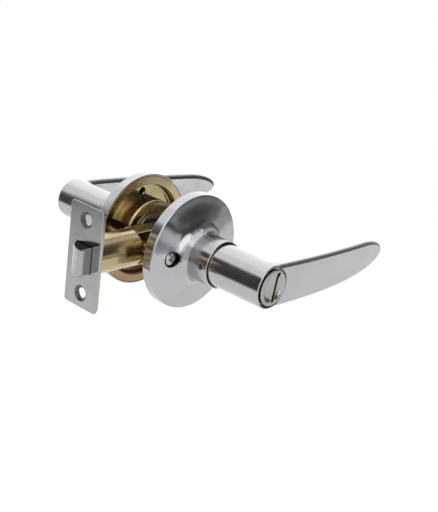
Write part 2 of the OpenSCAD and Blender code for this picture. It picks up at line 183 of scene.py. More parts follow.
def polar(t, around, along):
    """Coordinates round the spindle: radius, position along it and a stretched angle."""
    where = t.add("TexCoord").outputs["Object"]
    split = t.add("SeparateXYZ", Vector=where)
    x, y, z = split.outputs
    radius = t.math("SQRT", t.math("ADD", t.math("MULTIPLY", x, x), t.math("MULTIPLY", z, z)))
    angle = t.math("ARCTAN2", z, x)
    flat = t.add("CombineXYZ", X=t.math("MULTIPLY", radius, along), Y=t.math("MULTIPLY", y, along),
                 Z=t.math("MULTIPLY", angle, around))
    return flat.outputs[0]


def metal(name, color, tint, rough, brush, depth, anisotropy=0.0, radial=False, wear=0.04, painted_level_shade=None):
    """Plated metal with brushed lines and faint clouding; faces that lie level can take a painted shade
    colour.
    """
    mat = bpy.data.materials.new(name)
    t = Tree(mat)
    if radial:
        lines = t.noise(polar(t, brush[0], brush[1]), 1.0, 3.0, 0.6)
    else:
        lines = t.noise(stretched(t, brush), 1.0, 3.0, 0.6)
    cloud = t.noise(stretched(t, (60, 60, 60)), 1.0, 3.0, 0.55)
    speck = t.noise(stretched(t, (900, 900, 900)), 1.0, 2.0, 0.5)
    base = t.mix(t.ramp(cloud, 0.35, 0.7), color, tint)
    # Painted shade: faces that lie level are darkened towards the given colour.
    if painted_level_shade is not None:
        normal = t.add("NewGeometry").outputs["Normal"]
        level = t.math("ABSOLUTE", t.add("SeparateXYZ", Vector=normal).outputs[2])
        base = t.mix(t.ramp(level, 0.75, 0.97), base, painted_level_shade)
    low, high = rough
    roughness = t.math("ADD", t.ramp(lines, 0.25, 0.75, low, high), t.ramp(cloud, 0.3, 0.7, -wear, wear))
    height = t.math("ADD", t.math("MULTIPLY", lines, 0.8), t.math("MULTIPLY", speck, 0.2))
    bump = t.add("Bump", Strength=depth, Distance=0.00002, Height=height)
    shader = t.add("BsdfPrincipled", Base_Color=base, Metallic=1.0, Roughness=roughness,
                   Normal=bump.outputs[0])
    shader.inputs["Anisotropic"].default_value = anisotropy
    if radial and anisotropy:
        tangent = t.add("Tangent", {"direction_type": "RADIAL", "axis": "Y"})
        t.tree.links.new(tangent.outputs[0], shader.inputs["Tangent"])
        shader.inputs["Anisotropic Rotation"].default_value = 0.25
    t.finish(shader)
    return mat


def yellow_zinc():
    """Yellow chromate over zinc: tan, with faint green and pink patches, fine stamping marks and painted
    shade darkening it towards the bottom.
    """
    mat = bpy.data.materials.new("yellow_zinc")
    t = Tree(mat)
    cloud = t.noise(stretched(t, (55, 55, 55)), 1.0, 3.0, 0.5)
    patch = t.noise(stretched(t, (140, 90, 140)), 1.0, 2.0, 0.5)
    speck = t.noise(stretched(t, (1400, 1400, 1400)), 1.0, 2.0, 0.6)
    tan = t.mix(t.ramp(cloud, 0.38, 0.66), (0.48, 0.39, 0.235), (0.4, 0.325, 0.175))
    base = t.mix(t.ramp(patch, 0.52, 0.75, 0.0, 0.6), tan, (0.46, 0.31, 0.215))
    # Painted shade: the colour darkens towards the bottom of the pieces.
    height = t.add("SeparateXYZ", Vector=t.add("TexCoord").outputs["Object"]).outputs[2]
    base = t.mix(t.ramp(height, -0.028, -0.012, 0.85, 0.0), base, (0.3, 0.19, 0.11))
    roughness = t.math("ADD", t.ramp(patch, 0.3, 0.7, 0.16, 0.26), t.ramp(speck, 0.3, 0.7, -0.02, 0.03))
    bump = t.add("Bump", Strength=0.35, Distance=0.00003, Height=speck)
    shader = t.add("BsdfPrincipled", Base_Color=base, Metallic=1.0, Roughness=roughness,
                   Normal=bump.outputs[0])
    t.finish(shader)
    return mat


def rose_chrome():
    """Satin chrome, brushed in rings round the neck."""
    return metal("rose_chrome", (0.45, 0.455, 0.47), (0.43, 0.435, 0.445), (0.13, 0.19), (2.0, 9000), 0.2,
                 anisotropy=0.7, radial=True)


def lever_chrome():
    """Satin chrome, brushed along the blade."""
    return metal("lever_chrome", (0.46, 0.463, 0.47), (0.44, 0.443, 0.45), (0.13, 0.2),
                 (120, 2500, 2500), 0.15)


def latch_chrome():
    """Satin chrome, brushed upright, with painted shade darkening its level faces, such as the bolt's
    top.
    """
    # The last colour is painted shade for the level faces.
    return metal("latch_chrome", (0.41, 0.415, 0.42), (0.37, 0.38, 0.385), (0.12, 0.2),
                 (3000, 3000, 150), 0.25, painted_level_shade=(0.1, 0.1, 0.105))


def button_nickel():
    """A warmer plating than the levers', brushed upright."""
    return metal("button_nickel", (0.42, 0.415, 0.39), (0.38, 0.375, 0.35), (0.25, 0.35),
                 (3000, 3000, 150), 0.3)


def plain_steel():
    return metal("plain_steel", (0.36, 0.35, 0.33), (0.3, 0.29, 0.27), (0.25, 0.38), (900, 900, 900), 0.3)


def spring_steel():
    return metal("spring_steel", (0.16, 0.155, 0.145), (0.12, 0.115, 0.11), (0.28, 0.4),
                 (900, 900, 900), 0.2)


def screw_zinc():
    return metal("screw_zinc", (0.5, 0.5, 0.49), (0.44, 0.44, 0.43), (0.2, 0.3), (900, 900, 900), 0.25)


# ---------------------------------------------------------------- meshes
def at_front(p):
    return np.column_stack((p[:, 0], -p[:, 2], p[:, 1])) * MM


def at_back(p):
    return np.column_stack((p[:, 0], p[:, 2], p[:, 1])) * MM


def at_latch(p):
    return np.column_stack((p[:, 2], p[:, 0], p[:, 1])) * MM


PLACE = {"front": at_front, "back": at_back, "latch": at_latch}
# The order and signs that turn world coordinates back into each place's own.
LOCAL = {
    "front": ((0, 2, 1), (1, 1, -1)),
    "back": ((0, 2, 1), (1, 1, 1)),
    "latch": ((1, 2, 0), (1, 1, 1)),
}


def new_object(name, verts, faces, normals=None):
    """A smooth mesh object with its faces turned outwards, and exact normals where they are known."""
    mesh = bpy.data.meshes.new(name)
    mesh.from_pydata([tuple(v) for v in verts], [], [tuple(f) for f in faces])
    bm = bmesh.new()
    bm.from_mesh(mesh)
    bmesh.ops.recalc_face_normals(bm, faces=bm.faces)
    bm.to_mesh(mesh)
    bm.free()
    mesh.shade_smooth()
    if normals is not None:
        mesh.normals_split_custom_set_from_vertices([tuple(n) for n in normals])
    obj = bpy.data.objects.new(name, mesh)
    bpy.context.scene.collection.objects.link(obj)
    return obj


def rounded(corners, step=12.0):
    """A closed section with rounded corners (r, h, radius): its points and their outward normals."""
    at = np.array([c[:2] for c in corners], float)
    nxt = np.roll(at, -1, 0)
    turn = 1.0 if np.sum(at[:, 0] * nxt[:, 1] - nxt[:, 0] * at[:, 1]) > 0 else -1.0
    points, normals = [], []
    for i, (_, _, radius) in enumerate(corners):
        p = at[i]
        a, b = at[i - 1] - p, at[(i + 1) % len(at)] - p
        la, lb = np.linalg.norm(a), np.linalg.norm(b)
        a, b = a / la, b / lb
        na = turn * np.array((-a[1], a[0]))
        nb = turn * np.array((b[1], -b[0]))
        half = math.acos(max(-1.0, min(1.0, float(a @ b)))) / 2
        reach = min(radius / math.tan(half), 0.48 * min(la, lb))
        start = p + a * reach
        sweep = math.pi - 2 * half
        count = max(2, math.ceil(math.degrees(sweep) / step))
        side = math.copysign(1.0, float(na @ b))
        centre = start + side * na * reach * math.tan(half)
        for k in range(count + 1):
            w = k / count
            s = math.sin(sweep)
            n = na * math.sin((1 - w) * sweep) / s + nb * math.sin(w * sweep) / s
            n = n / np.linalg.norm(n)
            points.append(centre - side * n * reach * math.tan(half))
            normals.append(n)
    return np.array(points), np.array(normals)


def lathe(name, corners, place, segments=192, step=12.0):
    """A section turned about the local axis."""
    p, n = rounded(corners, step)
    m = len(p)
    t = np.arange(segments) * 2 * math.pi / segments
    c, s = np.cos(t)[:, None], np.sin(t)[:, None]
    verts = np.stack((c * p[:, 0], s * p[:, 0], np.ones_like(c) * p[:, 1]), -1).reshape(-1, 3)
    norms = np.stack((c * n[:, 0], s * n[:, 0], np.ones_like(c) * n[:, 1]), -1).reshape(-1, 3)
    i = np.arange(segments)[:, None] * m
    j = (np.arange(segments)[:, None] + 1) % segments * m
    k = np.arange(m)[None, :]
    l = (k + 1) % m
    faces = np.stack((i + k, i + l, j + l, j + k), -1).reshape(-1, 4)
    to = PLACE[place]
    obj = new_object(name, to(verts), faces, to(norms) / MM)
    obj["section"] = [float(x) for x in np.column_stack((p, n)).ravel()]
    obj["place"] = place
    return obj


def bake(obj):
    """Applies the modifiers."""
    graph = bpy.context.evaluated_depsgraph_get()
    mesh = bpy.data.meshes.new_from_object(obj.evaluated_get(graph))
    obj.modifiers.clear()
    obj.data = mesh
    return obj


def cut(obj, cutters):
    """Takes the cutters out of obj, and gives what is left of its turned faces their exact normals."""
    for cutter in cutters:
        mod = obj.modifiers.new("cut", "BOOLEAN")
        mod.operation = "DIFFERENCE"
        mod.solver = "EXACT"
        mod.object = cutter
    bake(obj)
    for cutter in cutters:
        bpy.data.objects.remove(cutter)
    obj.data.set_sharp_from_angle(angle=math.radians(35))
    if "section" in obj:
        exact_normals(obj)
    return obj


def exact_normals(obj):
    """Gives each corner that lies on the turned section the section's own normal there."""
    mesh = obj.data
    section = np.array(obj["section"]).reshape(-1, 4)
    count = len(mesh.loops)
    vert = np.zeros(count, int)
    mesh.loops.foreach_get("vertex_index", vert)
    co = np.zeros(len(mesh.vertices) * 3)
    mesh.vertices.foreach_get("co", co)
    co = co.reshape(-1, 3)[vert] / MM
    face_normal = np.zeros((count, 3))
    for poly in mesh.polygons:
        face_normal[poly.loop_start:poly.loop_start + poly.loop_total] = poly.normal
    now = np.array([c.vector for c in mesh.corner_normals])
    order, sign = LOCAL[obj["place"]]
    q = co[:, order] * sign
    rho = np.hypot(q[:, 0], q[:, 1])
    best = np.full(count, 1e9)
    nr, nh = np.zeros(count), np.zeros(count)
    m = len(section)
    for k in range(m):
        a, b = section[k], section[(k + 1) % m]
        d = b[:2] - a[:2]
        w = np.clip(((rho - a[0]) * d[0] + (q[:, 2] - a[1]) * d[1]) / max(1e-12, d @ d), 0, 1)
        dist = np.hypot(rho - a[0] - w * d[0], q[:, 2] - a[1] - w * d[1])
        closer = dist < best
        best = np.where(closer, dist, best)
        nr = np.where(closer, a[2] + w * (b[2] - a[2]), nr)
        nh = np.where(closer, a[3] + w * (b[3] - a[3]), nh)
    safe = np.maximum(rho, 1e-9)
    local = np.column_stack((nr * q[:, 0] / safe, nr * q[:, 1] / safe, nh))
    world = PLACE[obj["place"]](local) / MM
    world /= np.linalg.norm(world, axis=1)[:, None]
    fits = (best < 0.03) & (np.sum(world * face_normal, 1) > 0.85)
    now[fits] = world[fits]
    mesh.normals_split_custom_set([tuple(v) for v in now])


def edge_slices(axis, across):
    """The two ends of every grid edge along axis, with the other axes sliced by across."""
    first = [across] * 3
    second = [across] * 3
    first[axis], second[axis] = slice(0, -1), slice(1, None)
    return tuple(first), tuple(second)


def cell_points(grid, values, step):
    """For each cell, the sum of the surface's crossings on its edges, and their number."""
    inside = values < 0
    cells = [n - 1 for n in values.shape]
    total = np.zeros(cells + [3])
    hits = np.zeros(cells)
    halves = (slice(0, -1), slice(1, None))
    for axis in range(3):
        first, second = edge_slices(axis, slice(None))
        va, vb = values[first], values[second]
        crossed = inside[first] != inside[second]
        w = np.where(crossed, va / np.where(crossed, va - vb, 1), 0)
        at = grid[first].copy()
        at[..., axis] += w * step
        at *= crossed[..., None]
        others = [a for a in range(3) if a != axis]
        for b0 in (0, 1):
            for b1 in (0, 1):
                pick = [slice(None)] * 3
                pick[others[0]], pick[others[1]] = halves[b0], halves[b1]
                total += at[tuple(pick)]
                hits += crossed[tuple(pick)]
    return total, hits


def cell_faces(inside, index):
    """A face round every grid edge that the surface crosses, through its four cells' points."""
    faces = []
    for axis in range(3):
        others = [a for a in range(3) if a != axis]
        first, second = edge_slices(axis, slice(1, -1))
        base = np.argwhere(inside[first] != inside[second])
        base[:, others[0]] += 1
        base[:, others[1]] += 1
        quad = []
        for s0, s1 in ((0, 0), (1, 0), (1, 1), (0, 1)):
            cell = base.copy()
            cell[:, others[0]] -= s0
            cell[:, others[1]] -= s1
            quad.append(index[cell[:, 0], cell[:, 1], cell[:, 2]])
        faces.append(np.column_stack(quad))
    return np.concatenate(faces)


def field_mesh(name, field, low, high, step, place):
    """The zero surface of a distance field in local millimetres, with its gradient as the normals."""
    axes = [np.arange(low[i], high[i] + step, step) for i in range(3)]
    grid = np.stack(np.meshgrid(*axes, indexing="ij"), -1)
    values = field(grid.reshape(-1, 3)).reshape(grid.shape[:3])
    total, hits = cell_points(grid, values, step)
    active = hits > 0
    index = np.full(active.shape, -1)
    index[active] = np.arange(active.sum())
    verts = total[active] / hits[active][:, None]
    faces = cell_faces(values < 0, index)
    for _ in range(4):
        value, slope = sample(field, verts)
        move = np.clip(value, -step, step) / np.maximum(np.sum(slope ** 2, 1), 0.2)
        verts = verts - slope * move[:, None]
    slope = sample(field, verts)[1]
    normals = slope / np.linalg.norm(slope, axis=1)[:, None]
    to = PLACE[place]
    return new_object(name, to(verts), faces, to(normals) / MM)


def sample(field, p):
    """A field's value and gradient at points."""
    e = 0.02
    ks = np.array(((1, -1, -1), (-1, -1, 1), (-1, 1, -1), (1, 1, 1)), float)
    parts = [field(p + e * k) for k in ks]
    slope = sum(k[None, :] * v[:, None] for k, v in zip(ks, parts)) / (4 * e)
    return sum(parts) / 4, slope


def both(a, b, radius):
    """Intersection of two distances with a rounded edge."""
    u = np.maximum(a + radius, 0)
    v = np.maximum(b + radius, 0)
    return np.minimum(-radius, np.maximum(a, b)) + np.hypot(u, v)


def either(a, b, blend):
    """Union of two distances with a blended seam."""
    gap = np.maximum(blend - np.abs(a - b), 0)
    return np.minimum(a, b) - gap * gap / (4 * np.maximum(blend, 1e-6))


def cylinder_field(rho, h, radius, low, high, edge):
    """A cylinder with rounded rims."""
    return both(rho - radius, np.maximum(h - high, low - h), edge)


def cubic(a, b, c, d, n):
    """Points on a cubic curve, without its first."""
    t = np.linspace(0, 1, n + 1)[1:, None]
    a, b, c, d = (np.array(v, float) for v in (a, b, c, d))
    return (1 - t) ** 3 * a + 3 * t * (1 - t) ** 2 * b + 3 * t * t * (1 - t) * c + t ** 3 * d


def blade_outline():
    """The blade seen from the front: straight along the top, bellied below, blunt at the tip."""
    top_end = (0.8 * BLADE_LEN, 6.6)
    tip = (BLADE_LEN, -3)
    low_end = (0.81 * BLADE_LEN, -12.3)
    top = np.linspace((0, 12), top_end, 60)
    return np.concatenate((
        top,
        cubic(top_end, (0.885 * BLADE_LEN, 6), (BLADE_LEN, 3), tip, 60),
        cubic(tip, (BLADE_LEN, -7), (0.93 * BLADE_LEN, -11), low_end, 60),
        cubic(low_end, (0.6 * BLADE_LEN, -15), (0.34 * BLADE_LEN, -14), (0, -12), 120),
    ))


def polygon_distance(points, outline):
    """Distance from each point to a closed outline, negative inside it."""
    best = np.full(len(points), 1e9)
    inside = np.zeros(len(points), bool)
    for a, b in zip(outline, np.roll(outline, -1, 0)):
        d = b - a
        if d @ d < 1e-12:
            continue
        w = np.clip(((points - a) @ d) / (d @ d), 0, 1)
        best = np.minimum(best, np.sum((points - a - w[:, None] * d) ** 2, 1))
        straddles = (a[1] > points[:, 1]) != (b[1] > points[:, 1])
        if abs(d[1]) > 1e-12:
            inside ^= straddles & (points[:, 0] < a[0] + (points[:, 1] - a[1]) * d[0] / d[1])
    return np.where(inside, -1, 1) * np.sqrt(best)


class SmoothGrid:
    """Values on a plane grid, read with a cubic B-spline so that they have no creases."""

    def __init__(self, low, high, step, values):
        self.low, self.step = np.array(low, float), step
        self.n = [int(round((high[i] - low[i]) / step)) + 1 for i in (0, 1)]
        xs = [low[i] + step * np.arange(self.n[i]) for i in (0, 1)]
        mesh = np.stack(np.meshgrid(*xs, indexing="ij"), -1).reshape(-1, 2)
        self.values = values(mesh).reshape(self.n)

    def __call__(self, x, z):
        total = 0.0
        u = (x - self.low[0]) / self.step
        v = (z - self.low[1]) / self.step
        iu = np.clip(np.floor(u).astype(int), 1, self.n[0] - 3)
        iv = np.clip(np.floor(v).astype(int), 1, self.n[1] - 3)
        wu, wv = spline_weights(u - iu), spline_weights(v - iv)
        for a in range(4):
            row = sum(wv[b] * self.values[iu + a - 1, iv + b - 1] for b in range(4))
            total = total + wu[a] * row
        return total


def spline_weights(t):
    """A cubic B-spline's weights of four neighbours."""
    t = np.clip(t, 0, 1)
    return ((1 - t) ** 3 / 6, (3 * t ** 3 - 6 * t ** 2 + 4) / 6,
            (-3 * t ** 3 + 3 * t ** 2 + 3 * t + 1) / 6, t ** 3 / 6)


OUTLINE = SmoothGrid((-22, -24), (126, 20), 0.5, lambda p: polygon_distance(p, blade_outline()))


def lever_field(p, side):
    """The lever: a round shank with a blade that sweeps off it, and the bores inside."""
    x, z, h = p[:, 0], p[:, 1], p[:, 2]
    rho = np.hypot(x, z)
    end = SHANK_END[side]
    end_edge = 0.4 + 0.9 * np.clip((x + 11) / 11, 0, 1)
    shank = cylinder_field(rho, h, SHANK_R, SHANK_START, end, end_edge)
    outer = end - BLADE_SWEEP * (x / 120) ** 2
    thick = BLADE_T + ROOT_SWELL * np.clip(1 - x / ROOT_LEN, 0, 1.4) ** 2
    edge = OUTLINE(x, z)
    slab_out = both(h - outer, edge, 2.1)
    blade = both(outer - thick - h, slab_out, 2.8)
    blade = np.where(x < -2, np.maximum(blade, -2 - x), blade)
    seam = 2.5 * np.clip((79.5 - h) / 8, 0, 1)
    body = either(shank, blade, seam)
    bore = cylinder_field(rho, h, 9.5, SHANK_START - 5, 63, 0.2)
    catch = np.maximum(np.hypot(z, h - CATCH_H) - 1.6, x)
    body = both(body, -bore, 0.25)
    body = both(body, -catch, 0.2)
    if side == "front":
        pocket = cylinder_field(rho, h, POCKET_R, POCKET_FLOOR, end + 5, 0.3)
        hub = cylinder_field(rho, h, 4.15, 60, POCKET_FLOOR + 2, 0.1)
        return both(both(body, -pocket, 0.12), -hub, 0.2)
    release = cylinder_field(rho, h, 1.5, 60, end + 5, 0.1)
    return both(body, -release, 0.2)


def lever(side):
    return field_mesh(f"{side}_lever_casting", lambda p: lever_field(p, side), (-13.3, -15.2, 24.6),
                      (117.8, 13.4, 82.6), 0.5, side)


def rose_corners(shift, end):
    """Rose section from the base to the neck's end, moved inwards by shift."""
    lean = shift * (math.tan(FACE_SLOPE) - 1 / math.cos(FACE_SLOPE))
    edge_r, edge_h = ROSE_EDGE[0] - shift, ROSE_EDGE[1] + lean
    bend_h = edge_h + (edge_r - FACE_BEND_R) * math.tan(OUTER_SLOPE)
    apex_h = bend_h + (FACE_BEND_R - (NECK_R - shift)) * math.tan(INNER_SLOPE)
    neck_r = NECK_R - shift
    return [(ROSE_R - shift, DOOR_FACE), (edge_r, edge_h), (FACE_BEND_R, bend_h),
            (neck_r, apex_h), (neck_r, end)]


def rod(name, place, radius, low, high, at=(0, 0), axis=None):
    """A plain round cutter along the place's axis, or along an axis given in the world."""
    bm = bmesh.new()
    bmesh.ops.create_cone(bm, cap_ends=True, segments=64, radius1=radius * MM, radius2=radius * MM,
                          depth=(high - low) * MM)
    bmesh.ops.translate(bm, verts=bm.verts, vec=(0, 0, (high + low) / 2 * MM))
    turn = {"front": Matrix.Rotation(math.pi / 2, 4, "X"), "back": Matrix.Rotation(-math.pi / 2, 4, "X"),
            "latch": Matrix.Rotation(math.pi / 2, 4, "Y")}[place]
    if axis is not None:
        turn = Vector((0, 0, 1)).rotation_difference(Vector(axis)).to_matrix().to_4x4()
    bmesh.ops.transform(bm, matrix=turn, verts=bm.verts)
    offset = {"front": (at[0], 0, at[1]), "back": (at[0], 0, at[1]), "latch": (0, at[0], at[1])}[place]
    if axis is not None:
        offset = at
    bmesh.ops.translate(bm, verts=bm.verts, vec=[v * MM for v in offset])
    mesh = bpy.data.meshes.new(name)
    bm.to_mesh(mesh)
    bm.free()
    mesh.shade_smooth()
    obj = bpy.data.objects.new(name, mesh)
    bpy.context.scene.collection.objects.link(obj)
    return obj


def rose(side):
    """A pressed shell with a flared neck, a pinhole for the catch and a notch in its rim."""
    outer = rose_corners(0, NECK_END)
    inner = rose_corners(ROSE_WALL, NECK_END)
    rounds_out = (0.25, 0.9, 60, FLARE_R, 0.35)
    rounds_in = (0.25, 0.4, 60, FLARE_R + ROSE_WALL, 0.35)
    corners = [(*p, r) for p, r in zip(outer, rounds_out)]
    corners += [(*p, r) for p, r in zip(reversed(inner), reversed(rounds_in))]
    obj = lathe(f"{side}_rose_shell", corners, side, segments=256, step=5.0)
    catch_y = CATCH_H if side == "back" else -CATCH_H
    cutters = [rod("pin", side, PINHOLE_R, -17, -9, at=(0, catch_y, 0), axis=(1, 0, 0))]
    if side == "front":
        cutters += [rod("hole", side, ACCESS_R, 20, 33, at=(s * SCREW_X, 0)) for s in (-1, 1)]
    cutters.append(sector("notch", side, 31, 35, 50, 6.9, DOOR_FACE - 1, DOOR_FACE + 1.2))
    return cut(obj, cutters)


def slab_faces(n):
    """Faces of a slab whose two outlines have n points each."""
    faces = [list(range(n)), list(range(n, 2 * n))]
    return faces + [[i, (i + 1) % n, n + (i + 1) % n, n + i] for i in range(n)]


def sector(name, side, r_in, r_out, middle, width, low, high):
    """A cutter shaped as a sector of a ring."""
    angles = np.radians(np.linspace(middle - width / 2, middle + width / 2, 24))
    ring = [(r_in * math.cos(a), r_in * math.sin(a)) for a in angles]
    ring += [(r_out * math.cos(a), r_out * math.sin(a)) for a in reversed(angles)]
    verts = [(*q, low) for q in ring] + [(*q, high) for q in ring]
    return new_object(name, PLACE[side](np.array(verts)), slab_faces(len(ring)))


def mounting_plate(side):
    """A dished plate with holes for the two screws or posts and two round ones."""
    corners = [(10.65, 22, 0.2), (27, 22, 1.2), (27, 17.5, 1.1), (32.3, 17.5, 0.35), (32.3, 18.7, 0.35),
               (28.2, 18.7, 0.5), (28.2, 23.2, 2.2), (10.65, 23.2, 0.2)]
    obj = lathe(f"{side}_plate_pressing", corners, side, segments=192, step=12.0)
    hole = 2.3 if side == "front" else 2.45
    holes = [rod("screw", side, hole, 20, 25, at=(k * SCREW_X, 0)) for k in (-1, 1)]
    holes += [rod("round", side, 2.5, 20, 25, at=(0, k * 22)) for k in (-1, 1)]
    return cut(obj, holes)


def spring_cage(side):
    """A cup over the return spring, open at both sides."""
    corners = [(11.0, 10.6, 0.25), (19.7, 10.6, 1.5), (19.7, 22, 0.25), (18.5, 22, 0.25),
               (18.5, 11.8, 0.6), (11.0, 11.8, 0.25)]
    obj = lathe(f"{side}_cage_pressing", corners, side, segments=192, step=12.0)
    gaps = [sector("gap", side, 15.2, 21, middle, 44, 9, 23) for middle in (0, 180)]
    return cut(obj, gaps)


def latch_tube():
    corners = [(TUBE_BORE, TUBE_START, 0.2), (TUBE_R, TUBE_START, 0.2), (TUBE_R, TUBE_END, 0.85),
               (TUBE_BORE, TUBE_END, 0.02)]
    return lathe("latch_tube_shell", corners, "latch", segments=160, step=10.0)


def groove_offset(x, z):
    """Distance across from the middle of the groove beside the thumb ridge, which leans a little."""
    return x - GROOVE_X - GROOVE_LEAN * z


def button_field(p):
    """The turn button: a disc with two scoops, a groove beside its thumb ridge, and a slotted hub."""
    x, z, h = p[:, 0], p[:, 1], p[:, 2]
    rho = np.hypot(x, z)
    disc = cylinder_field(rho, h, BUTTON_R, POCKET_FLOOR + 0.4, BUTTON_FACE, 0.35)
    bowl = np.hypot(np.abs(x) - SCOOP_X, h - BUTTON_FACE - SCOOP_LIFT) - SCOOP_R
    scoop = both(bowl, rho - BUTTON_R + BUTTON_RIM, 3.0)
    disc = both(disc, -scoop, 0.5)
    groove = both(np.abs(groove_offset(x, z)) - GROOVE_HALF, BUTTON_FACE - GROOVE_DEPTH - h, 0.9)
    groove = both(groove, np.abs(z) - 8.0, 0.9)
    disc = both(disc, -groove, 0.5)
    hub = cylinder_field(rho, h, BUTTON_HUB_R, 60.6, POCKET_FLOOR + 1, 0.2)
    clip_slot = np.maximum(3.3 - rho, np.abs(h - 62.25) - 0.35)
    hub = both(hub, -clip_slot, 0.05)
    socket = np.maximum(np.maximum(np.abs(x), np.abs(z)) - 1.55, h - 71.7)
    return np.maximum(np.minimum(disc, hub), -socket)


def turn_button():
    low, high = (-10.6, -10.6, 60.0), (10.6, 10.6, 82.0)
    return field_mesh("turn_button_knob", button_field, low, high, 0.28, "front")


def bolt_outline():
    """The bolt from above: flat towards the front, bevelled in a shallow curve towards the back."""
    start, end = np.array((-68.6, -5.45)), np.array((-60.2, 6.35))
    middle = (start + end) / 2 + np.array((-1.6, 1.12))
    control = 2 * middle - (start + end) / 2
    t = np.linspace(0, 1, 40)[:, None]
    curve = (1 - t) ** 2 * start + 2 * t * (1 - t) * control + t * t * end
    return np.concatenate((((-45, -BOLT_HALF_W), (-68.0, -BOLT_HALF_W)), curve, ((-45, BOLT_HALF_W),)))


BOLT_PLAN = SmoothGrid((-72, -10), (-41, 10), 0.25, lambda p: polygon_distance(p, bolt_outline()))


def bolt_field(p):
    """The bolt's outline at its full height, with a bore for the spring."""
    y, z, x = p[:, 0], p[:, 1], p[:, 2]
    plan = BOLT_PLAN(x, y)
    body = both(plan, np.abs(z) - BOLT_HALF_H, 0.7)
    bore = np.maximum(np.hypot(y, z) - 4.7, -60 - x)
    return both(body, -bore, 0.2)


def latch_bolt():
    return field_mesh("latch_bolt_head", bolt_field, (-7, -8.1, -69.2), (7, 8.1, -44.4), 0.3, "latch")


def screw_field(p):
    """A pan head screw with a cross recess and a rolled thread."""
    x, z, h = p[:, 0], p[:, 1], p[:, 2]
    rho = np.hypot(x, z)
    turn = np.arctan2(z, x) / (2 * math.pi)
    wave = np.abs(((h / 0.8 - turn) % 1.0) - 0.5) * 2
    fade = np.clip((12 - h) / 2, 0, 1)
    shank = cylinder_field(rho, h, 2.0, -14, 24, 0.3) + fade * 0.3 * (1 - wave)
    head = both(rho - 3.7, np.maximum(h - SCREW_HEAD_TOP, 23.2 - h), 0.3)
    crown = np.hypot(rho, h - 19.0) - 6.9
    head = both(head, crown, 0.2)
    depth = (SCREW_HEAD_TOP - h) / 2.0
    wing = 0.42 + 0.2 * (1 - depth)
    reach = 2.3 - 1.2 * np.clip(depth, 0, 1)
    cross = np.minimum(np.maximum(np.abs(x) - wing, np.abs(z) - reach),
                       np.maximum(np.abs(z) - wing, np.abs(x) - reach))
    cross = np.maximum(cross, 23.7 - h)
    return np.maximum(np.minimum(shank, head), -cross)


def through_screws():
    """Both screws in one piece."""
    low, high = (-4.1, -4.1, -14.5), (4.1, 4.1, 26.4)
    one = field_mesh("through_screw_pair", screw_field, low, high, 0.2, "front")
    normals = [tuple(c.vector) for c in one.data.corner_normals]
    bm = bmesh.new()
    bm.from_mesh(one.data)
    bmesh.ops.translate(bm, verts=bm.verts, vec=(SCREW_X * MM, 0, 0))
    copy = bmesh.ops.duplicate(bm, geom=bm.verts[:] + bm.edges[:] + bm.faces[:])
    moved = [v for v in copy["geom"] if isinstance(v, bmesh.types.BMVert)]
    bmesh.ops.translate(bm, verts=moved, vec=(-2 * SCREW_X * MM, 0, 0))
    bm.to_mesh(one.data)
    bm.free()
    one.data.normals_split_custom_set(normals * 2)
    return one


def sweep(name, path, up, radius, place, sides=14):
    """A round wire along a path, with rounded ends."""
    path = np.asarray(path, float)
    along = np.gradient(path, axis=0)
    along /= np.linalg.norm(along, axis=1)[:, None]
    size = np.ones(len(path))
    for k, f in enumerate((0.35, 0.8)):
        size[k] = f
        size[-1 - k] = f
    path = np.concatenate((path[:1], path, path[-1:]))
    along = np.concatenate((along[:1], along, along[-1:]))
    size = np.concatenate(((0.001,), size, (0.001,)))
    one = np.cross(along, up)
    one /= np.linalg.norm(one, axis=1)[:, None]
    two = np.cross(one, along)
    t = np.arange(sides) * 2 * math.pi / sides
    out = np.cos(t)[None, :, None] * one[:, None] + np.sin(t)[None, :, None] * two[:, None]
    verts = path[:, None] + radius * size[:, None, None] * out
    m = len(path)
    i = np.arange(m - 1)[:, None] * sides
    k = np.arange(sides)[None, :]
    l = (k + 1) % sides
    faces = np.stack((i + k, i + l, i + sides + l, i + sides + k), -1).reshape(-1, 4).tolist()
    faces += [list(range(sides)), list(range((m - 1) * sides, m * sides))]
    return new_object(name, PLACE[place](verts.reshape(-1, 3)), faces)


def return_spring(side):
    """A torsion coil round the sleeve, with one end turned outwards."""
    turns = 3
    n = turns * 40
    t = np.arange(n + 1) / n
    a = np.radians(360 * turns * t + 60)
    path = np.column_stack((RETURN_COIL_R * np.cos(a), RETURN_COIL_R * np.sin(a), 13.0 + 1.75 * 3 * t))
    last = path[-1] * (16.9 / RETURN_COIL_R, 16.9 / RETURN_COIL_R, 1)
    path = np.concatenate((path, (path[-1] * 0.6 + last * 0.4, last)))
    return sweep(f"{side}_spring_coil", path, (0, 0, 1), 0.6, side)


def bolt_spring():
    """A coil between the bolt and the spring seat."""
    turns = 11
    n = turns * 32
    t = np.arange(n + 1) / n
    a = 2 * math.pi * turns * t
    low, high = BOLT_SPRING_X
    path = np.column_stack((BOLT_COIL_R * np.cos(a), BOLT_COIL_R * np.sin(a), low + (high - low) * t))
    return sweep("bolt_spring_coil", path, (0, 0, 1), 0.45, "latch", sides=12)


def prism(name, outline, low, high):
    """A flat plate in Y and Z, with its thickness along X, in millimetres."""
    verts = [(low, *q) for q in outline] + [(high, *q) for q in outline]
    return new_object(name, np.array(verts) * MM, slab_faces(len(outline)))


def rounded_rectangle(width, height, corner, steps=10):
    """Its outline in Y and Z."""
    points = []
    for k, (sy, sz) in enumerate(((1, 1), (-1, 1), (-1, -1), (1, -1))):
        for i in range(steps + 1):
            a = math.pi / 2 * (k + i / steps)
            points.append((sy * (width / 2 - corner) + corner * math.cos(a),
                           sz * (height / 2 - corner) + corner * math.sin(a)))
    return points


def ease(obj, width, segments=3, angle=40.0):
    """Rounds the edges sharper than angle."""
    mod = obj.modifiers.new("ease", "BEVEL")
    mod.width = width * MM
    mod.segments = segments
    mod.limit_method = "ANGLE"
    mod.angle_limit = math.radians(angle)
    mod.harden_normals = True
    return mod


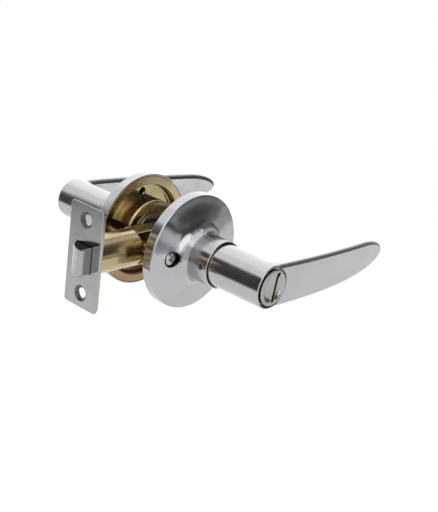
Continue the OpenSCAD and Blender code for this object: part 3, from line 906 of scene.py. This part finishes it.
def paint_hole_shade(obj):
    """Painted shade: the funnels of the screw holes take the dark spring steel colour."""
    obj.data.materials.append(MATERIALS["spring_steel"])
    for poly in obj.data.polygons:
        _, y, z = poly.center / MM
        near = math.hypot(y, abs(z) - PLATE_PITCH / 2) < HOLE_R + 1.8
        if near and abs(poly.normal.x) < 0.95:
            poly.material_index = 1


def paint_groove_shade(obj):
    """Painted shade: the groove beside the thumb ridge takes the dark spring steel colour."""
    obj.data.materials.append(MATERIALS["spring_steel"])
    for poly in obj.data.polygons:
        x, y, z = poly.center / MM
        depth = BUTTON_FACE + y
        if 0.45 < depth < 3.0 and abs(groove_offset(x, z)) < 1.7 and abs(z) < 8.4:
            poly.material_index = 1


def flatten(obj):
    """Normals weighted by area, so that the flat faces shade flat."""
    mod = obj.modifiers.new("flatten", "WEIGHTED_NORMAL")
    mod.keep_sharp = True
    mod.weight = 80


def countersink(name, z):
    """A cutter for a screw hole with a funnel towards -X."""
    corners = ((HOLE_R + 2.3, -60.6), (HOLE_R + 1.7, -60.0), (HOLE_R, -58.75), (HOLE_R, -58))
    n = 64
    verts, faces = [(-60.6, 0, z), (-58, 0, z)], []
    for i in range(n):
        a = 2 * math.pi * i / n
        verts += [(x, r * math.cos(a), z + r * math.sin(a)) for r, x in corners]
    for i in range(n):
        a, b = 2 + 4 * i, 2 + 4 * ((i + 1) % n)
        faces += [[a + k, b + k, b + k + 1, a + k + 1] for k in range(3)]
        faces += [[0, a, b], [1, a + 3, b + 3]]
    return new_object(name, np.array(verts) * MM, faces)


def faceplate():
    """A plate with rounded edges, an opening for the bolt and two countersunk holes."""
    obj = prism("latch_faceplate_plate", rounded_rectangle(PLATE_W, PLATE_H, 1.8), *PLATE_X)
    ease(obj, 0.3, 4)
    bake(obj)
    opening = prism("opening", rounded_rectangle(13.3, 15.6, 0.5, 4), -61, -58)
    cut(obj, [opening] + [countersink("sink", k * PLATE_PITCH / 2) for k in (-1, 1)])
    ease(obj, 0.12, 2, 50)
    flatten(obj)
    return obj


def backing_plate():
    """The thinner plate behind the faceplate, a little smaller all round."""
    outline = rounded_rectangle(PLATE_W - 1.6, PLATE_H - 1.6, 1.8)
    obj = prism("latch_backing_sheet", outline, PLATE_X[1], TUBE_START)
    cutters = [prism("opening", rounded_rectangle(13.5, 15.8, 0.5, 4), -59, -57)]
    for k in (-1, 1):
        cutters.append(rod("hole", "latch", HOLE_R + 0.9, -59, -57, at=(0, k * PLATE_PITCH / 2)))
    cut(obj, cutters)
    ease(obj, 0.12, 2, 50)
    flatten(obj)
    return obj


# ---------------------------------------------------------------- pieces carried over from the CAD
def carried(name, width=0.18):
    """A CAD node with its edges eased."""
    obj = NODES[name]
    weld = obj.modifiers.new("weld", "WELD")
    weld.merge_threshold = 0.000002
    # Merging the flat faces of the retractor would close the slots of its fork.
    if name != "bolt_retractor":
        flat = obj.modifiers.new("flat", "DECIMATE")
        flat.decimate_type = "DISSOLVE"
        flat.angle_limit = math.radians(0.4)
    ease(obj, width)
    obj.data.shade_smooth()
    return obj


def finish_piece(obj, body, slot, material, *nodes):
    """Gives a piece its material and its body, and hides the CAD nodes that it stands for."""
    obj.data.materials.clear()
    obj.data.materials.append(material)
    if body == STRETCHED:
        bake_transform(obj)
    else:
        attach(obj, body)
    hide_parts(*nodes)
    return obj


# ---------------------------------------------------------------- stage
# Soft boxes and dark flags round the object: azimuth, half width, low, high, softness and level.
SOFT_BOXES = (
    (50, 38, -12, 50, 7, 1.62),
    (142, 14, -19, 38, 6, 0.06),
    (182, 26, -18, 40, 6, 0.68),
    (190, 40, 46, 70, 6, 1.45),
    (68, 26, 43, 68, 8, 1.45),
    (218, 14, -18, 7, 5, 0.45),
    (218, 14, 7, 30, 6, 0.95),
    (250, 20, 1, 50, 6, 1.85),
    (300, 32, 42, 64, 6, 0.45),
    (301, 24, -12, 44, 4, 0.085),
    (339, 16, -12, 46, 5, 0.2),
    (300, 17, -19, -13, 3, 1.3),
    (8, 12, -20, 60, 6, 0.65),
)


def soft_box(t, level, height, flat, azimuth, half_width, low, high, soft, value):
    """Lays one soft box over the brightness of the studio so far."""
    a = math.radians(azimuth)
    toward = (math.cos(a), math.sin(a), 0)
    dot = t.add("VectorMath", {"operation": "DOT_PRODUCT"}, i0=flat, i1=toward).outputs["Value"]
    outer, inner = (math.cos(math.radians(half_width + k * soft)) for k in (0.5, -0.5))
    side = t.ramp(dot, outer, inner)
    edges = (low - soft / 2, low + soft / 2, high + soft / 2, high - soft / 2)
    low0, low1, high0, high1 = (math.sin(math.radians(e)) for e in edges)
    band = t.math("MULTIPLY", t.ramp(height, low0, low1), t.ramp(height, high0, high1))
    mask = t.math("MULTIPLY", side, band)
    return t.add("Mix", i0=mask, i2=level, i3=value).outputs[0]


def build_world():
    """White to the camera, even light to matt surfaces, and soft boxes and flags to shiny ones."""
    world = bpy.data.worlds.new("studio")
    bpy.context.scene.world = world
    t = Tree(world)
    where = t.add("TexCoord").outputs["Generated"]
    height = t.add("SeparateXYZ", Vector=where).outputs[2]
    level_only = t.add("VectorMath", {"operation": "MULTIPLY"}, i0=where, i1=(1, 1, 0)).outputs[0]
    flat = t.add("VectorMath", {"operation": "NORMALIZE"}, i0=level_only).outputs[0]
    level = t.ramp(height, 0.0, 0.9, 1.05, 1.2)
    for box in SOFT_BOXES:
        level = soft_box(t, level, height, flat, *box)
    glossy = t.add("Background", Strength=1.0,
                   Color=t.add("CombineColor", Red=level, Green=level, Blue=level).outputs[0])
    fill = t.add("Background", Strength=1.4, Color=(1, 1, 1, 1))
    plain = t.add("Background", Strength=1.0, Color=(1, 1, 1, 1))
    path = t.add("LightPath")
    diffuse, camera = path.outputs["Is Diffuse Ray"], path.outputs["Is Camera Ray"]
    mixed = t.add("MixShader", i0=diffuse, i1=glossy.outputs[0], i2=fill.outputs[0])
    mixed = t.add("MixShader", i0=camera, i1=mixed.outputs[0], i2=plain.outputs[0])
    t.finish(mixed, "OutputWorld")


def build_floor():
    """A disc of pale paper, left out of the metal's reflections."""
    mesh = bpy.data.meshes.new("floor")
    bm = bmesh.new()
    bmesh.ops.create_circle(bm, cap_ends=True, segments=128, radius=0.55)
    bm.to_mesh(mesh)
    bm.free()
    obj = bpy.data.objects.new("floor", mesh)
    obj.location = (0, 0, -0.15)
    obj.visible_glossy = False
    bpy.context.scene.collection.objects.link(obj)
    mat = bpy.data.materials.new("floor_paper")
    t = Tree(mat)
    grain = t.noise(stretched(t, (300, 300, 300)), 1.0, 2.0)
    base = t.mix(grain, (0.8, 0.8, 0.8), (0.81, 0.81, 0.81))
    shader = t.add("BsdfPrincipled", Base_Color=base, Roughness=0.9)
    t.finish(shader)
    mesh.materials.append(mat)


def build_camera():
    """Looks at the origin from in front, to the left and above, turned by its roll and moved aside."""
    data = bpy.data.cameras.new("camera")
    data.sensor_fit = "VERTICAL"
    data.sensor_height = 36.0
    data.lens = CAMERA_LENS
    data.clip_start = 0.01
    obj = bpy.data.objects.new("camera", data)
    bpy.context.scene.collection.objects.link(obj)
    sin_a, cos_a = math.sin(CAMERA_AZIMUTH), math.cos(CAMERA_AZIMUTH)
    sin_e, cos_e = math.sin(CAMERA_ELEVATION), math.cos(CAMERA_ELEVATION)
    sin_r, cos_r = math.sin(CAMERA_ROLL), math.cos(CAMERA_ROLL)
    away = Vector((sin_a * cos_e, -cos_a * cos_e, sin_e))
    level = Vector((cos_a, sin_a, 0))
    upright = away.cross(level)
    right = cos_r * level + sin_r * upright
    up = cos_r * upright - sin_r * level
    at = away * CAMERA_DISTANCE + right * CAMERA_SHIFT[0] - up * CAMERA_SHIFT[1]
    obj.matrix_world = Matrix((
        (right.x, up.x, away.x, at.x),
        (right.y, up.y, away.y, at.y),
        (right.z, up.z, away.z, at.z),
        (0, 0, 0, 1),
    ))
    bpy.context.scene.camera = obj


# ---------------------------------------------------------------- the scene
MATERIALS = {make.__name__: make() for make in (
    rose_chrome, lever_chrome, latch_chrome, button_nickel,
    yellow_zinc, plain_steel, spring_steel, screw_zinc,
)}
for part in frame["record"]["subparts"]:
    node = NODES[part["node"]]
    node.data.materials.clear()
    node.data.materials.append(MATERIALS[part["material_slot"]])

build_camera()
build_world()
build_floor()
bpy.context.scene.view_settings.view_transform = "Standard"

PIECES = []
for side in SIDES:
    PIECES += [
        (lever(side), f"{side}_handle", f"{side}_lever"),
        (rose(side), "door_set", f"{side}_rose"),
        (mounting_plate(side), "door_set", f"{side}_mounting_plate"),
        (spring_cage(side), "door_set", f"{side}_spring_cage"),
        (return_spring(side), "door_set", f"{side}_return_spring"),
    ]
PIECES += [
    (turn_button(), "button", "turn_button"),
    (through_screws(), "door_set", "through_screws"),
    (faceplate(), "door_set", "latch_faceplate"),
    (backing_plate(), "door_set", "latch_backing_plate"),
    (latch_tube(), "door_set", "latch_tube"),
    (latch_bolt(), "bolt", "latch_bolt"),
    (bolt_spring(), STRETCHED, "bolt_spring"),
]
SLOT_OF = {part["node"]: part["material_slot"] for part in frame["record"]["subparts"]}
# Pieces with painted shade on some of their faces.
PAINTED_SHADE_FACES = {"latch_faceplate": paint_hole_shade, "turn_button": paint_groove_shade}
for obj, body, node in PIECES:
    finish_piece(obj, body, SLOT_OF[node], MATERIALS[SLOT_OF[node]], node)
    if node in PAINTED_SHADE_FACES:
        PAINTED_SHADE_FACES[node](obj)
done = {node for _, _, node in PIECES}
for name in NODES:
    if name not in done:
        carried(name)
